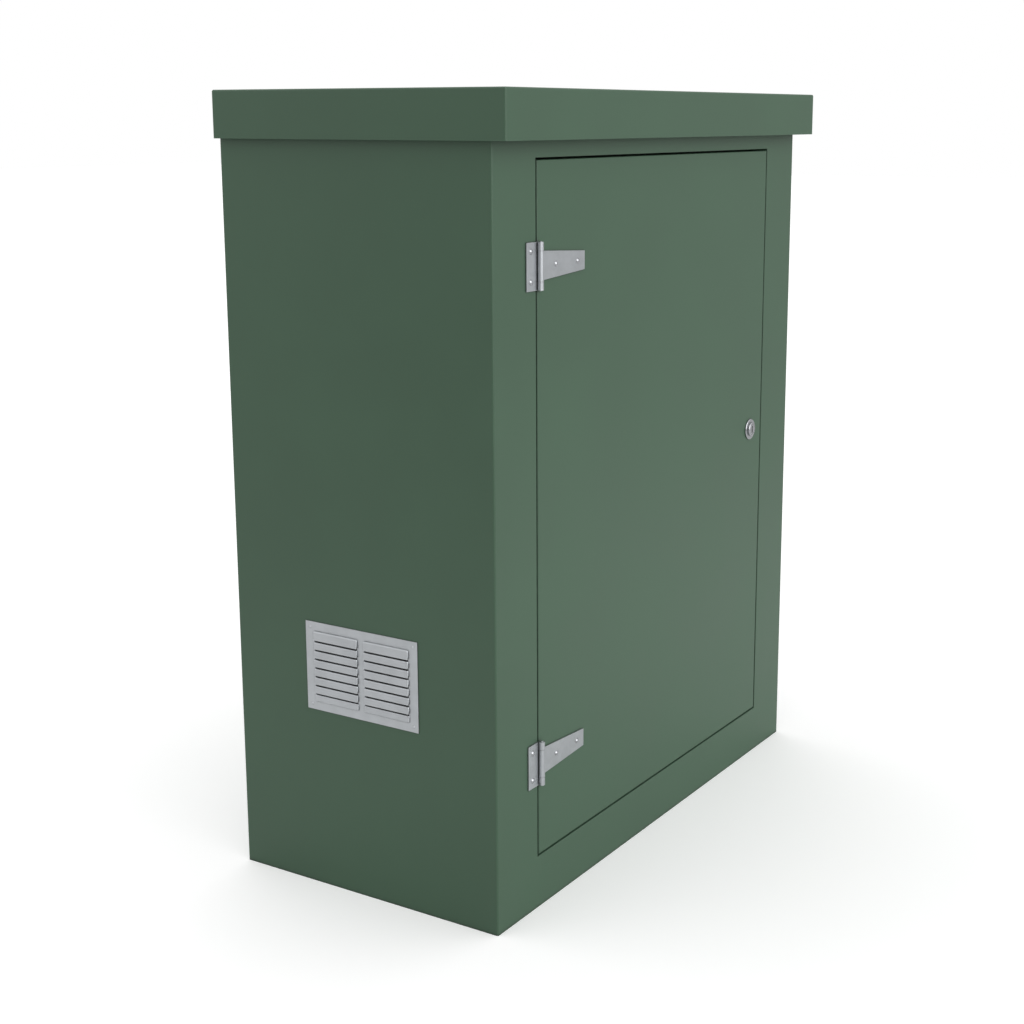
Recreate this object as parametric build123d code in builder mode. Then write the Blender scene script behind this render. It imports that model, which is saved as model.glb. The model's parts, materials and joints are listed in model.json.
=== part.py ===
from build123d import *
import os

# Roadside utility cabinet: a glass-fibre kiosk with one side-hung door, two tee hinges,
# a cam lock and a louvred vent in each side. Millimetres, +Z up. The origin is on the
# ground, at the centre of the body. The door is in the front, which faces -Y, and hangs
# on the -X side.

# Body moulding
body_width = 1000.0
body_depth = 500.0
wall = 5.0
corner_radius = 3.0
base_flange_width = 60.0
base_flange_thickness = 8.0
base_hole_radius = 7.0
top_flange_width = 45.0
flange_corner_radius = 20.0

# Roof moulding
overall_height = 1250.0
roof_thickness = 5.0
roof_skirt = 72.0
roof_side_overhang = 14.0
roof_front_overhang = 33.0
roof_edge_radius = 3.0
roof_fit = 1.0

# Door frame in the front of the body
stile_width = 111.5
sill_height = 84.5
head_reveal = 25.0
frame_edge_radius = 1.5
stop_width = 25.0

# Door moulding
door_gap = 3.0
door_depth = 28.0
door_wall = 5.0
door_edge_radius = 2.0
rib_base = 60.0
rib_crown = 36.0
rib_height = 14.0

# Door seal
seal_width = 12.0
seal_height = 8.0
seal_inset = 2.0
seal_corner_radius = 20.0
seal_edge_chamfer = 3.0
seal_clearance = 0.3

# Tee hinges
hinge_inset = 151.0
hinge_height = 70.0
leaf_width = 32.0
leaf_thickness = 2.0
leaf_corner_radius = 1.0
pin_setback = 1.0
pin_radius = 2.8
pin_clearance = 0.05
pin_proud = 1.0
pin_end_chamfer = 0.9
barrel_clearance = 0.3
roll_slit = 0.7
knuckle_height = 44.0
knuckle_gap = 0.4
strap_length = 128.5
strap_tip = 28.0
leaf_bolt_offset = 21.0
leaf_bolt_spacing = 44.0
strap_bolt_offset = 47.0
strap_bolt_spacing = 61.0

# Cup-head bolts of the hinges, with their washers and nuts
bolt_radius = 2.5
bolt_head_radius = 4.2
bolt_head_height = 2.5
bolt_tail = 2.0
bolt_fit = 0.15
washer_radius = 6.0
washer_thickness = 1.0
nut_radius = 4.6
nut_height = 4.0

# Cam lock
lock_height = 643.8
lock_backset = 46.5
lock_flange_radius = 19.0
lock_flange_thickness = 2.6
lock_flange_chamfer = 0.8
lock_collar_radius = 12.4
lock_collar_chamfer = 0.8
lock_stand_out = 6.0
lock_barrel_radius = 11.0
lock_fit = 0.2
lock_nut_radius = 16.0
lock_nut_height = 5.0
plug_head_radius = 9.2
plug_head_depth = 9.0
plug_core_radius = 7.0
plug_clearance = 0.05
plug_end_gap = 0.1
plug_chamfer = 0.4
slot_length = 13.6
slot_width = 3.2
slot_depth = 6.0
tail_width = 8.0
cam_thickness = 4.0
cam_width = 20.0
cam_tip_gap = 7.0
cam_tip_radius = 4.0
cam_run_gap = 1.2
cam_end_gap = 0.3
cam_screw_radius = 2.5
cam_screw_length = 10.0
cam_screw_head_radius = 5.6
cam_screw_head_height = 3.2
cam_screw_edge_chamfer = 1.2

# Keeper plate behind the stop
keeper_height = 70.0
keeper_thickness = 2.0
keeper_rivet_spacing = 50.0
keeper_rivet_inset = 6.0
keeper_rivet_radius = 2.0
keeper_rivet_head_radius = 3.6
keeper_rivet_head_height = 1.2

# Louvre vents
vent_length = 217.0
vent_height = 144.0
vent_bottom = 294.5
vent_thickness = 1.5
vent_corner_radius = 1.5
vent_rivet_inset = 9.0
louvre_count = 7
louvre_pitch = 14.4
top_louvre_height = 17.5
bead_height = 11.3
louvre_length = 87.0
louvre_rib = 11.0
louvre_rise = 4.0
louvre_slot = 3.6
louvre_brow = 3.4
louvre_cheek_run = 2.0
louvre_bow_share = 0.80
louvre_lip_share = 0.96
brow_run_share = 0.36
brow_rise_share = 0.64
bead_bow_share = 0.72
vent_rivet_radius = 1.6
vent_rivet_head_radius = 2.6
vent_rivet_head_height = 0.8
vent_rivet_tail_radius = 2.6
vent_rivet_tail_height = 3.0
rivet_fit = 0.1

# Roof bolts, each with a plate bonded into the roof, and their washers and nuts
roof_bolt_columns = 3
roof_bolt_radius = 4.0
roof_bolt_plate_radius = 12.0
roof_bolt_plate_thickness = 2.0
roof_bolt_tail = 3.0
roof_washer_radius = 10.0
roof_washer_thickness = 1.6
roof_nut_radius = 7.4
roof_nut_height = 6.5

# Backboard on battens
board_thickness = 18.0
board_side_margin = 60.0
board_bottom = 150.0
board_top_margin = 105.0
batten_width = 45.0
batten_depth = 20.0
batten_inset = 70.0
board_screw_columns = 3
board_screw_inset = 50.0
board_screw_radius = 2.5
board_screw_head_radius = 5.0
board_screw_length = 32.0
board_screw_fit = 0.15

# How far a cut runs past the face that it opens
overrun = 10.0

# Places worked out from the sizes
inner_width = body_width - 2 * wall
inner_depth = body_depth - 2 * wall
skirt_bottom = overall_height - roof_skirt
body_top = overall_height - roof_thickness
opening_width = body_width - 2 * stile_width
opening_top = skirt_bottom - head_reveal
opening_height = opening_top - sill_height
opening_mid = sill_height + opening_height / 2
door_width = opening_width - 2 * door_gap
door_height = opening_height - 2 * door_gap
stop_depth = door_depth + seal_clearance + seal_height
front_y = -body_depth / 2
front_face = Plane.XZ.offset(body_depth / 2)
back_face = Plane.XZ.offset(wall - body_depth / 2)

roof_bolt_pitch_x = (inner_width - top_flange_width) / (roof_bolt_columns - 1)
roof_bolt_pitch_y = inner_depth - top_flange_width
base_pitch_x = inner_width - base_flange_width
base_pitch_y = inner_depth - base_flange_width

knuckle_bore = pin_radius + pin_clearance
barrel_radius = knuckle_bore + leaf_thickness
pin_out = barrel_radius + barrel_clearance
pin_x = pin_setback - door_width / 2
pin_y = front_y - pin_out
leaf_stop = pin_setback + door_gap / 2
hinge_mids = {
    "upper": opening_mid + door_height / 2 - hinge_inset,
    "lower": opening_mid - door_height / 2 + hinge_inset,
}
leaf_bolts = [
    (pin_x - leaf_bolt_offset, middle + side * leaf_bolt_spacing / 2)
    for middle in hinge_mids.values()
    for side in (-1, 1)
]
strap_bolts = [
    (pin_x + strap_bolt_offset + step * strap_bolt_spacing, middle)
    for middle in hinge_mids.values()
    for step in (0, 1)
]

lock_x = door_width / 2 - lock_backset
lock_seat = Plane((lock_x, front_y, lock_height), (1, 0, 0), (0, -1, 0))
lock_section = Plane(lock_seat.origin, lock_seat.x_dir, -lock_seat.y_dir)
lock_axis = Axis(lock_seat.origin, lock_seat.z_dir)
cam_depth = stop_depth + wall + keeper_thickness + cam_run_gap
cam_reach = lock_backset + door_gap - cam_tip_gap
keeper_x = opening_width / 2 - stop_width / 2
keeper_rivet_x = opening_width / 2 - stop_width + keeper_rivet_inset
keeper_rivets_at = [
    (keeper_rivet_x, lock_height + side * keeper_rivet_spacing / 2) for side in (-1, 1)
]

vent_mid = vent_bottom + vent_height / 2
vent_window_length = 2 * louvre_length + louvre_rib
louvre_run = (louvre_count - 1) * louvre_pitch
vent_window_height = top_louvre_height + louvre_run + bead_height
vent_rivet_pitch_x = vent_length - 2 * vent_rivet_inset
vent_rivet_pitch_y = vent_height - 2 * vent_rivet_inset
vent_seats = {
    "left": Plane((-body_width / 2, 0, vent_mid), (0, -1, 0), (-1, 0, 0)),
    "right": Plane((body_width / 2, 0, vent_mid), (0, 1, 0), (1, 0, 0)),
}

board_width = body_width - 2 * board_side_margin
board_height = body_top - board_top_margin - board_bottom
board_mid = board_bottom + board_height / 2
batten_pitch = board_height - 2 * batten_inset
board_screw_pitch = (board_width - 2 * board_screw_inset) / (board_screw_columns - 1)

os.makedirs("parts", exist_ok=True)


def write(piece, name):
    """Label a finished piece and write it to its own file."""
    piece.label = name
    export_step(piece, f"parts/{name}.step")


# Body: walls, base and top flanges, and the rebate and stop of the door frame
with BuildPart() as body_shell:
    with BuildSketch():
        RectangleRounded(body_width, body_depth, corner_radius)
    extrude(amount=body_top)
    with BuildSketch(Plane.XY.offset(base_flange_thickness)):
        Rectangle(inner_width, inner_depth)
    extrude(amount=body_top - wall - base_flange_thickness, mode=Mode.SUBTRACT)
    with BuildSketch():
        RectangleRounded(
            inner_width - 2 * base_flange_width,
            inner_depth - 2 * base_flange_width,
            flange_corner_radius,
        )
    extrude(amount=base_flange_thickness, mode=Mode.SUBTRACT)
    with BuildSketch(Plane.XY.offset(body_top - wall)):
        RectangleRounded(
            inner_width - 2 * top_flange_width,
            inner_depth - 2 * top_flange_width,
            flange_corner_radius,
        )
    extrude(amount=wall, mode=Mode.SUBTRACT)
    # Rebate and stop, as a frame behind the front wall
    with BuildSketch(front_face):
        with Locations((0, opening_mid)):
            Rectangle(opening_width + 2 * wall, opening_height + 2 * wall)
    extrude(amount=-(stop_depth + wall))
    with BuildSketch(front_face):
        with Locations((0, opening_mid)):
            Rectangle(opening_width, opening_height)
    extrude(amount=-stop_depth, mode=Mode.SUBTRACT)
    with BuildSketch(front_face.offset(-stop_depth)):
        with Locations((0, opening_mid)):
            Rectangle(opening_width - 2 * stop_width, opening_height - 2 * stop_width)
    extrude(amount=-wall, mode=Mode.SUBTRACT)
    front_wall = body_shell.faces().filter_by(Axis.Y).sort_by(Axis.Y)[0]
    fillet(front_wall.inner_wires().edges(), frame_edge_radius)
    # Windows and rivet holes of the vents, through both side walls
    with BuildSketch(Plane.YZ):
        with Locations((0, vent_mid)):
            Rectangle(vent_window_length, vent_window_height)
            with GridLocations(vent_rivet_pitch_x, vent_rivet_pitch_y, 2, 2):
                Circle(vent_rivet_radius + rivet_fit)
    extrude(amount=body_width / 2 + overrun, both=True, mode=Mode.SUBTRACT)
    # Holes for the base fixings, the roof bolts, the hinge bolts and the keeper rivets
    with Locations((0, 0, base_flange_thickness)):
        with GridLocations(base_pitch_x, base_pitch_y, 2, 2):
            Hole(base_hole_radius, depth=base_flange_thickness)
    with Locations((0, 0, body_top)):
        with GridLocations(roof_bolt_pitch_x, roof_bolt_pitch_y, roof_bolt_columns, 2):
            Hole(roof_bolt_radius + bolt_fit, depth=wall)
    with Locations(front_face):
        with Locations(*leaf_bolts):
            Hole(bolt_radius + bolt_fit, depth=wall)
    with Locations(front_face.offset(-stop_depth)):
        with Locations(*keeper_rivets_at):
            Hole(keeper_rivet_radius + rivet_fit, depth=wall)
write(body_shell.part, "body_shell")


# Roof: a flat top that rests on the body, with deep skirts at the front and the sides
roof_width = body_width + 2 * roof_side_overhang
roof_depth = body_depth + roof_front_overhang
roof_mid_y = -roof_front_overhang / 2
with BuildPart() as roof_cap:
    with BuildSketch(Plane.XY.offset(skirt_bottom)):
        with Locations((0, roof_mid_y)):
            RectangleRounded(roof_width, roof_depth, corner_radius)
    extrude(amount=roof_skirt)
    fillet(roof_cap.faces().sort_by(Axis.Z)[-1].edges(), roof_edge_radius)
    with BuildSketch(Plane.XY.offset(skirt_bottom)):
        with Locations((0, roof_mid_y)):
            Rectangle(roof_width - 2 * wall, roof_depth - 2 * wall)
    extrude(amount=roof_skirt - roof_thickness, mode=Mode.SUBTRACT)
    # The body reaches up into the roof, through its back wall
    with BuildSketch(Plane.XY.offset(skirt_bottom)):
        Rectangle(body_width + 2 * roof_fit, body_depth + overrun)
    extrude(amount=body_top - skirt_bottom, mode=Mode.SUBTRACT)
    # Pockets for the plates of the roof bolts
    with BuildSketch(Plane.XY.offset(body_top)):
        with GridLocations(roof_bolt_pitch_x, roof_bolt_pitch_y, roof_bolt_columns, 2):
            Circle(roof_bolt_plate_radius + bolt_fit)
    extrude(amount=roof_bolt_plate_thickness, mode=Mode.SUBTRACT)
write(roof_cap.part, "roof_cap")


# Roof bolts down through the top flange, with a washer and a nut under it
roof_bolt_reach = wall + roof_washer_thickness + roof_nut_height + roof_bolt_tail
with BuildPart() as roof_bolt:
    with BuildSketch():
        Circle(roof_bolt_plate_radius)
    extrude(amount=roof_bolt_plate_thickness)
    with BuildSketch():
        Circle(roof_bolt_radius)
    extrude(amount=-roof_bolt_reach)

with BuildPart() as roof_washer:
    with BuildSketch():
        Circle(roof_washer_radius)
        Circle(roof_bolt_radius + bolt_fit, mode=Mode.SUBTRACT)
    extrude(amount=-roof_washer_thickness)

with BuildPart() as roof_nut:
    with BuildSketch():
        RegularPolygon(roof_nut_radius, 6)
        Circle(roof_bolt_radius + bolt_fit, mode=Mode.SUBTRACT)
    extrude(amount=-roof_nut_height)

for row, fitting, height in (
    ("bolts", roof_bolt.part, body_top),
    ("washers", roof_washer.part, body_top - wall),
    ("nuts", roof_nut.part, body_top - wall - roof_washer_thickness),
):
    with BuildPart() as roof_fittings:
        with Locations((0, 0, height)):
            with GridLocations(roof_bolt_pitch_x, roof_bolt_pitch_y, roof_bolt_columns, 2):
                add(fitting)
    write(roof_fittings.part, f"roof_{row}")


# Door: a tray with stiffening ribs across its back
with BuildPart() as door_panel:
    with BuildSketch(front_face):
        with Locations((0, opening_mid)):
            Rectangle(door_width, door_height)
    extrude(amount=-door_depth)
    fillet(door_panel.faces().sort_by(Axis.Y)[0].edges(), door_edge_radius)
    with BuildSketch(front_face.offset(-door_wall)):
        with Locations((0, opening_mid)):
            Rectangle(door_width - 2 * door_wall, door_height - 2 * door_wall)
    extrude(amount=door_wall - door_depth, mode=Mode.SUBTRACT)
    # One rib half-way between the lock and each hinge
    rib_foot = front_y + door_wall
    for hinge_mid in hinge_mids.values():
        rib_mid = (lock_height + hinge_mid) / 2
        with BuildSketch(Plane.YZ):
            with BuildLine():
                Polyline(
                    (rib_foot, rib_mid - rib_base / 2),
                    (rib_foot + rib_height, rib_mid - rib_crown / 2),
                    (rib_foot + rib_height, rib_mid + rib_crown / 2),
                    (rib_foot, rib_mid + rib_base / 2),
                    close=True,
                )
            make_face()
        extrude(amount=door_width / 2 - door_wall, both=True)
    with Locations(front_face):
        with Locations(*strap_bolts):
            Hole(bolt_radius + bolt_fit, depth=door_wall)
        with Locations((lock_x, lock_height)):
            Hole(lock_barrel_radius + lock_fit, depth=door_wall)
write(door_panel.part, "door_panel")


# Door seal: a rubber strip with bevelled edges around the stop
seal_outer_width = opening_width - 2 * seal_inset
seal_outer_height = opening_height - 2 * seal_inset
with BuildPart() as door_seal:
    with BuildSketch(front_face.offset(-stop_depth)):
        with Locations((0, opening_mid)):
            RectangleRounded(seal_outer_width, seal_outer_height, seal_corner_radius)
            RectangleRounded(
                seal_outer_width - 2 * seal_width,
                seal_outer_height - 2 * seal_width,
                seal_corner_radius - seal_width,
                mode=Mode.SUBTRACT,
            )
    extrude(amount=seal_height)
    chamfer(door_seal.faces().sort_by(Axis.Y)[0].edges(), seal_edge_chamfer)
write(door_seal.part, "door_seal")


def rolled_knuckle(lowest, height, roll_side):
    """Sheet rolled round the pin, with the slit where the roll ends on the given side."""
    with BuildPart() as knuckle:
        with BuildSketch(Plane.XY.offset(lowest)):
            with Locations((pin_x, pin_y)):
                Circle(barrel_radius)
                Circle(knuckle_bore, mode=Mode.SUBTRACT)
            slit_top = front_y - leaf_thickness
            with Locations((pin_x + roll_side * barrel_radius, slit_top)):
                Rectangle(
                    2 * (barrel_radius - leaf_thickness / 2),
                    roll_slit,
                    align=(Align.CENTER, Align.MAX),
                    mode=Mode.SUBTRACT,
                )
        extrude(amount=height)
    return knuckle.part


def hinge_frame_leaf(middle):
    """Fixed leaf: a plate on the door frame with a knuckle at each end of the barrel."""
    roll = rolled_knuckle(middle - hinge_height / 2, hinge_height, -1)
    with BuildPart() as leaf:
        with BuildSketch(front_face):
            with Locations((pin_x - leaf_width, middle)):
                Rectangle(
                    leaf_width - leaf_stop, hinge_height, align=(Align.MIN, Align.CENTER)
                )
        extrude(amount=leaf_thickness)
        outer_edge = leaf.faces().sort_by(Axis.X)[0]
        fillet(outer_edge.edges().filter_by(Axis.Y), leaf_corner_radius)
        add(roll)
        with BuildSketch(front_face):
            with Locations((pin_x, middle)):
                Rectangle(2 * (barrel_radius + knuckle_gap), knuckle_height + 2 * knuckle_gap)
        extrude(amount=pin_out + barrel_radius + overrun, mode=Mode.SUBTRACT)
        with Locations(front_face.offset(leaf_thickness)):
            for side in (-1, 1):
                with Locations((pin_x - leaf_bolt_offset, middle + side * leaf_bolt_spacing / 2)):
                    Hole(bolt_radius + bolt_fit, depth=leaf_thickness)
    return leaf.part


def hinge_strap(middle):
    """Moving leaf: a tapered strap on the door, rolled round the pin at its root."""
    roll = rolled_knuckle(middle - knuckle_height / 2, knuckle_height, 1)
    with BuildPart() as strap:
        with BuildSketch(front_face):
            with BuildLine():
                Polyline(
                    (pin_x, middle - knuckle_height / 2),
                    (pin_x + strap_length, middle - strap_tip / 2),
                    (pin_x + strap_length, middle + strap_tip / 2),
                    (pin_x, middle + knuckle_height / 2),
                    close=True,
                )
            make_face()
        extrude(amount=leaf_thickness)
        tip = strap.faces().sort_by(Axis.X)[-1]
        fillet(tip.edges().filter_by(Axis.Y), leaf_corner_radius)
        add(roll)
        with Locations(front_face.offset(leaf_thickness)):
            for step in (0, 1):
                with Locations((pin_x + strap_bolt_offset + step * strap_bolt_spacing, middle)):
                    Hole(bolt_radius + bolt_fit, depth=leaf_thickness)
    return strap.part


def hinge_pin(middle):
    """Pin through the three knuckles, with bevelled ends standing a little proud."""
    with BuildPart() as pin:
        with BuildSketch(Plane.XY.offset(middle - hinge_height / 2 - pin_proud)):
            with Locations((pin_x, pin_y)):
                Circle(pin_radius)
        extrude(amount=hinge_height + 2 * pin_proud)
        chamfer(pin.edges().filter_by(GeomType.CIRCLE), pin_end_chamfer)
    return pin.part


for place, hinge_mid in hinge_mids.items():
    write(hinge_frame_leaf(hinge_mid), f"{place}_hinge_frame_leaf")
    write(hinge_strap(hinge_mid), f"{place}_hinge_strap")
    write(hinge_pin(hinge_mid), f"{place}_hinge_pin")


def cup_bolt(grip):
    """Cup-head bolt, with its head on the plane z = 0, through the given grip and a nut."""
    length = grip + washer_thickness + nut_height + bolt_tail
    dome_radius = (bolt_head_radius**2 / bolt_head_height + bolt_head_height) / 2
    with BuildPart() as bolt:
        with BuildSketch(Plane.XZ):
            with BuildLine():
                Polyline(
                    (0, bolt_head_height),
                    (0, -length),
                    (bolt_radius, -length),
                    (bolt_radius, 0),
                    (bolt_head_radius, 0),
                )
                RadiusArc((bolt_head_radius, 0), (0, bolt_head_height), -dome_radius)
            make_face()
        revolve(axis=Axis.Z)
    return bolt.part


# Washer and nut of the hinge bolts, below the plane z = 0
with BuildPart() as hinge_washer:
    with BuildSketch():
        Circle(washer_radius)
        Circle(bolt_radius + bolt_fit, mode=Mode.SUBTRACT)
    extrude(amount=-washer_thickness)

with BuildPart() as hinge_nut:
    with BuildSketch():
        RegularPolygon(nut_radius, 6)
        Circle(bolt_radius + bolt_fit, mode=Mode.SUBTRACT)
    extrude(amount=-nut_height)

for row, places, back in (
    ("frame", leaf_bolts, wall),
    ("strap", strap_bolts, door_wall),
):
    hinge_bolt = cup_bolt(leaf_thickness + back)
    with BuildPart() as bolts:
        with Locations(front_face.offset(leaf_thickness)):
            with Locations(*places):
                add(hinge_bolt)
    write(bolts.part, f"hinge_{row}_bolts")
    with BuildPart() as washers:
        with Locations(front_face.offset(-back)):
            with Locations(*places):
                add(hinge_washer.part)
    write(washers.part, f"hinge_{row}_washers")
    with BuildPart() as nuts:
        with Locations(front_face.offset(-back - washer_thickness)):
            with Locations(*places):
                add(hinge_nut.part)
    write(nuts.part, f"hinge_{row}_nuts")


# Lock housing: flange and collar outside, threaded barrel through the door
barrel_depth = cam_depth - cam_end_gap
head_floor = lock_stand_out - plug_head_depth
with BuildPart() as lock_housing:
    with BuildSketch(lock_section):
        with BuildLine():
            Polyline(
                (plug_core_radius + plug_clearance, -barrel_depth),
                (lock_barrel_radius, -barrel_depth),
                (lock_barrel_radius, 0),
                (lock_flange_radius, 0),
                (lock_flange_radius, lock_flange_thickness - lock_flange_chamfer),
                (lock_flange_radius - lock_flange_chamfer, lock_flange_thickness),
                (lock_collar_radius, lock_flange_thickness),
                (lock_collar_radius, lock_stand_out - lock_collar_chamfer),
                (lock_collar_radius - lock_collar_chamfer, lock_stand_out),
                (plug_head_radius + plug_clearance, lock_stand_out),
                (plug_head_radius + plug_clearance, head_floor),
                (plug_core_radius + plug_clearance, head_floor),
                close=True,
            )
        make_face()
    revolve(axis=lock_axis)
write(lock_housing.part, "lock_housing")

with BuildPart() as lock_nut:
    with BuildSketch(lock_seat.offset(-door_wall)):
        RegularPolygon(lock_nut_radius, 6)
        Circle(lock_barrel_radius + lock_fit, mode=Mode.SUBTRACT)
    extrude(amount=-lock_nut_height)
write(lock_nut.part, "lock_nut")


# Lock plug: slotted head, core and the square tail that carries the cam
with BuildPart() as lock_plug:
    with BuildSketch(lock_section):
        with BuildLine():
            Polyline(
                (0, -cam_depth),
                (plug_core_radius, -cam_depth),
                (plug_core_radius, head_floor + plug_end_gap),
                (plug_head_radius, head_floor + plug_end_gap),
                (plug_head_radius, lock_stand_out - plug_chamfer),
                (plug_head_radius - plug_chamfer, lock_stand_out),
                (0, lock_stand_out),
                close=True,
            )
        make_face()
    revolve(axis=lock_axis)
    with BuildSketch(lock_seat.offset(lock_stand_out)):
        SlotOverall(slot_length, slot_width, rotation=90)
    extrude(amount=-slot_depth, mode=Mode.SUBTRACT)
    with BuildSketch(lock_seat.offset(-cam_depth)):
        Rectangle(tail_width, tail_width)
    extrude(amount=-cam_thickness)
    with BuildSketch(lock_seat.offset(-cam_depth - cam_thickness)):
        Circle(cam_screw_radius + bolt_fit)
    extrude(amount=cam_screw_length, mode=Mode.SUBTRACT)
write(lock_plug.part, "lock_plug")


# Cam on the plug's tail, upright when the lock is open
with BuildPart() as lock_cam:
    with BuildSketch(lock_seat.offset(-cam_depth)) as cam_outline:
        Rectangle(cam_width, cam_reach, align=(Align.CENTER, Align.MIN))
        fillet(cam_outline.vertices().group_by(Axis.Y)[-1], cam_tip_radius)
        Circle(cam_width / 2)
        Rectangle(tail_width + 2 * lock_fit, tail_width + 2 * lock_fit, mode=Mode.SUBTRACT)
    extrude(amount=-cam_thickness)
write(lock_cam.part, "lock_cam")

with BuildPart() as lock_cam_screw:
    with BuildSketch(lock_seat.offset(-cam_depth - cam_thickness)):
        Circle(cam_screw_head_radius)
    extrude(amount=-cam_screw_head_height)
    chamfer(lock_cam_screw.edges().sort_by(Axis.Y)[-1], cam_screw_edge_chamfer)
    with BuildSketch(lock_seat.offset(-cam_depth - cam_thickness)):
        Circle(cam_screw_radius)
    extrude(amount=cam_screw_length)
write(lock_cam_screw.part, "lock_cam_screw")


# Keeper plate that the cam turns behind, riveted to the back of the stop
with BuildPart() as lock_keeper:
    with BuildSketch(front_face.offset(-stop_depth - wall)):
        with Locations((keeper_x, lock_height)):
            Rectangle(stop_width, keeper_height)
        with Locations(*keeper_rivets_at):
            Circle(keeper_rivet_radius + rivet_fit, mode=Mode.SUBTRACT)
    extrude(amount=-keeper_thickness)
write(lock_keeper.part, "lock_keeper")

with BuildPart() as keeper_rivet:
    with BuildSketch():
        Circle(keeper_rivet_head_radius)
    extrude(amount=keeper_rivet_head_height)
    with BuildSketch():
        Circle(keeper_rivet_radius)
    extrude(amount=-wall - keeper_thickness)

with BuildPart() as keeper_rivets:
    with Locations(front_face.offset(-stop_depth)):
        with Locations(*keeper_rivets_at):
            add(keeper_rivet.part)
write(keeper_rivets.part, "keeper_rivets")


def louvre_profiles(thickness, inset):
    """Sections of one column of louvres, as (up, out) points from the vent's middle.

    Each louvre curves out from the plate at its brow and runs down to an open lip. The
    top louvre is taller, and a closed bead ends the column.
    """
    face = vent_thickness - thickness
    brow_rise = louvre_rise * louvre_bow_share
    lip = face + louvre_rise * louvre_lip_share
    top = vent_window_height / 2
    heads = [top - top_louvre_height - row * louvre_pitch for row in range(louvre_count)]
    for head, next_head in zip([top] + heads, heads):
        root = head - inset
        foot = next_head + louvre_slot
        brow = (root - louvre_brow, face + brow_rise)
        turn = (root - louvre_brow * brow_run_share, face + brow_rise * brow_rise_share)
        with BuildLine() as outline:
            ThreePointArc((root, face), turn, brow)
            Polyline(brow, (foot, lip), (foot, -thickness), (root, -thickness), (root, face))
        yield outline.line
    root = heads[-1] - inset
    end = heads[-1] - bead_height + inset
    with BuildLine() as outline:
        ThreePointArc((root, face), ((root + end) / 2, face + louvre_rise * bead_bow_share), (end, face))
        Polyline((end, face), (end, -thickness), (root, -thickness), (root, face))
    yield outline.line


def louvre_vent(seat):
    """Pressed vent plate on a side wall, with two columns of louvres that open downwards."""
    section = Plane(seat.origin, seat.y_dir, seat.x_dir)
    column_x = (louvre_length + louvre_rib) / 2
    hollow_length = louvre_length - 2 * (louvre_cheek_run + vent_thickness)
    with BuildPart() as vent:
        with BuildSketch(seat):
            RectangleRounded(vent_length, vent_height, vent_corner_radius)
            with GridLocations(vent_rivet_pitch_x, vent_rivet_pitch_y, 2, 2):
                Circle(vent_rivet_radius + rivet_fit, mode=Mode.SUBTRACT)
        extrude(amount=vent_thickness)
        for side in (-1, 1):
            with BuildSketch(section.offset(side * column_x)):
                for outline in louvre_profiles(0, 0):
                    make_face(outline.edges())
            extrude(amount=louvre_length / 2, both=True)
        # Slope the two ends of each column
        with BuildSketch(Plane(seat.origin, seat.x_dir, -seat.y_dir)):
            for side in (-1, 1):
                for end in (-1, 1):
                    end_x = side * column_x + end * louvre_length / 2
                    with BuildLine():
                        Polyline(
                            (end_x, vent_thickness),
                            (end_x, vent_thickness + louvre_rise),
                            (end_x - end * louvre_cheek_run, vent_thickness + louvre_rise),
                            close=True,
                        )
                    make_face()
        extrude(amount=vent_height / 2, both=True, mode=Mode.SUBTRACT)
        for side in (-1, 1):
            with BuildSketch(section.offset(side * column_x)):
                for outline in louvre_profiles(vent_thickness, vent_thickness):
                    make_face(outline.edges())
            extrude(amount=hollow_length / 2, both=True, mode=Mode.SUBTRACT)
        # Air slots in the plate, one under the lip of each louvre
        slots_mid = vent_window_height / 2 - top_louvre_height - louvre_run / 2 + louvre_slot / 2
        with BuildSketch(seat):
            with Locations((0, slots_mid)):
                with GridLocations(2 * column_x, louvre_pitch, 2, louvre_count):
                    Rectangle(louvre_length - 2 * louvre_cheek_run, louvre_slot)
        extrude(amount=vent_thickness, mode=Mode.SUBTRACT)
    return vent.part


# Blind rivet of the vents, with its head on the plane z = 0
vent_rivet_grip = vent_thickness + wall
with BuildPart() as vent_rivet:
    with BuildSketch():
        Circle(vent_rivet_head_radius)
    extrude(amount=vent_rivet_head_height, taper=45)
    with BuildSketch():
        Circle(vent_rivet_radius)
    extrude(amount=-vent_rivet_grip)
    with BuildSketch(Plane.XY.offset(-vent_rivet_grip)):
        Circle(vent_rivet_tail_radius)
    extrude(amount=-vent_rivet_tail_height)

for hand, vent_seat in vent_seats.items():
    write(louvre_vent(vent_seat), f"{hand}_vent")
    with BuildPart() as vent_rivets:
        with Locations(vent_seat.offset(vent_thickness)):
            with GridLocations(vent_rivet_pitch_x, vent_rivet_pitch_y, 2, 2):
                add(vent_rivet.part)
    write(vent_rivets.part, f"{hand}_vent_rivets")


# Battens bonded to the back wall, and the backboard screwed to them
with BuildPart() as backboard_battens:
    with BuildSketch(back_face):
        with Locations((0, board_mid)):
            with GridLocations(0, batten_pitch, 1, 2):
                Rectangle(board_width, batten_width)
    extrude(amount=batten_depth)
    with BuildSketch(back_face.offset(batten_depth)):
        with Locations((0, board_mid)):
            with GridLocations(board_screw_pitch, batten_pitch, board_screw_columns, 2):
                Circle(board_screw_radius + board_screw_fit)
    extrude(amount=board_thickness - board_screw_length, mode=Mode.SUBTRACT)
write(backboard_battens.part, "backboard_battens")

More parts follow.
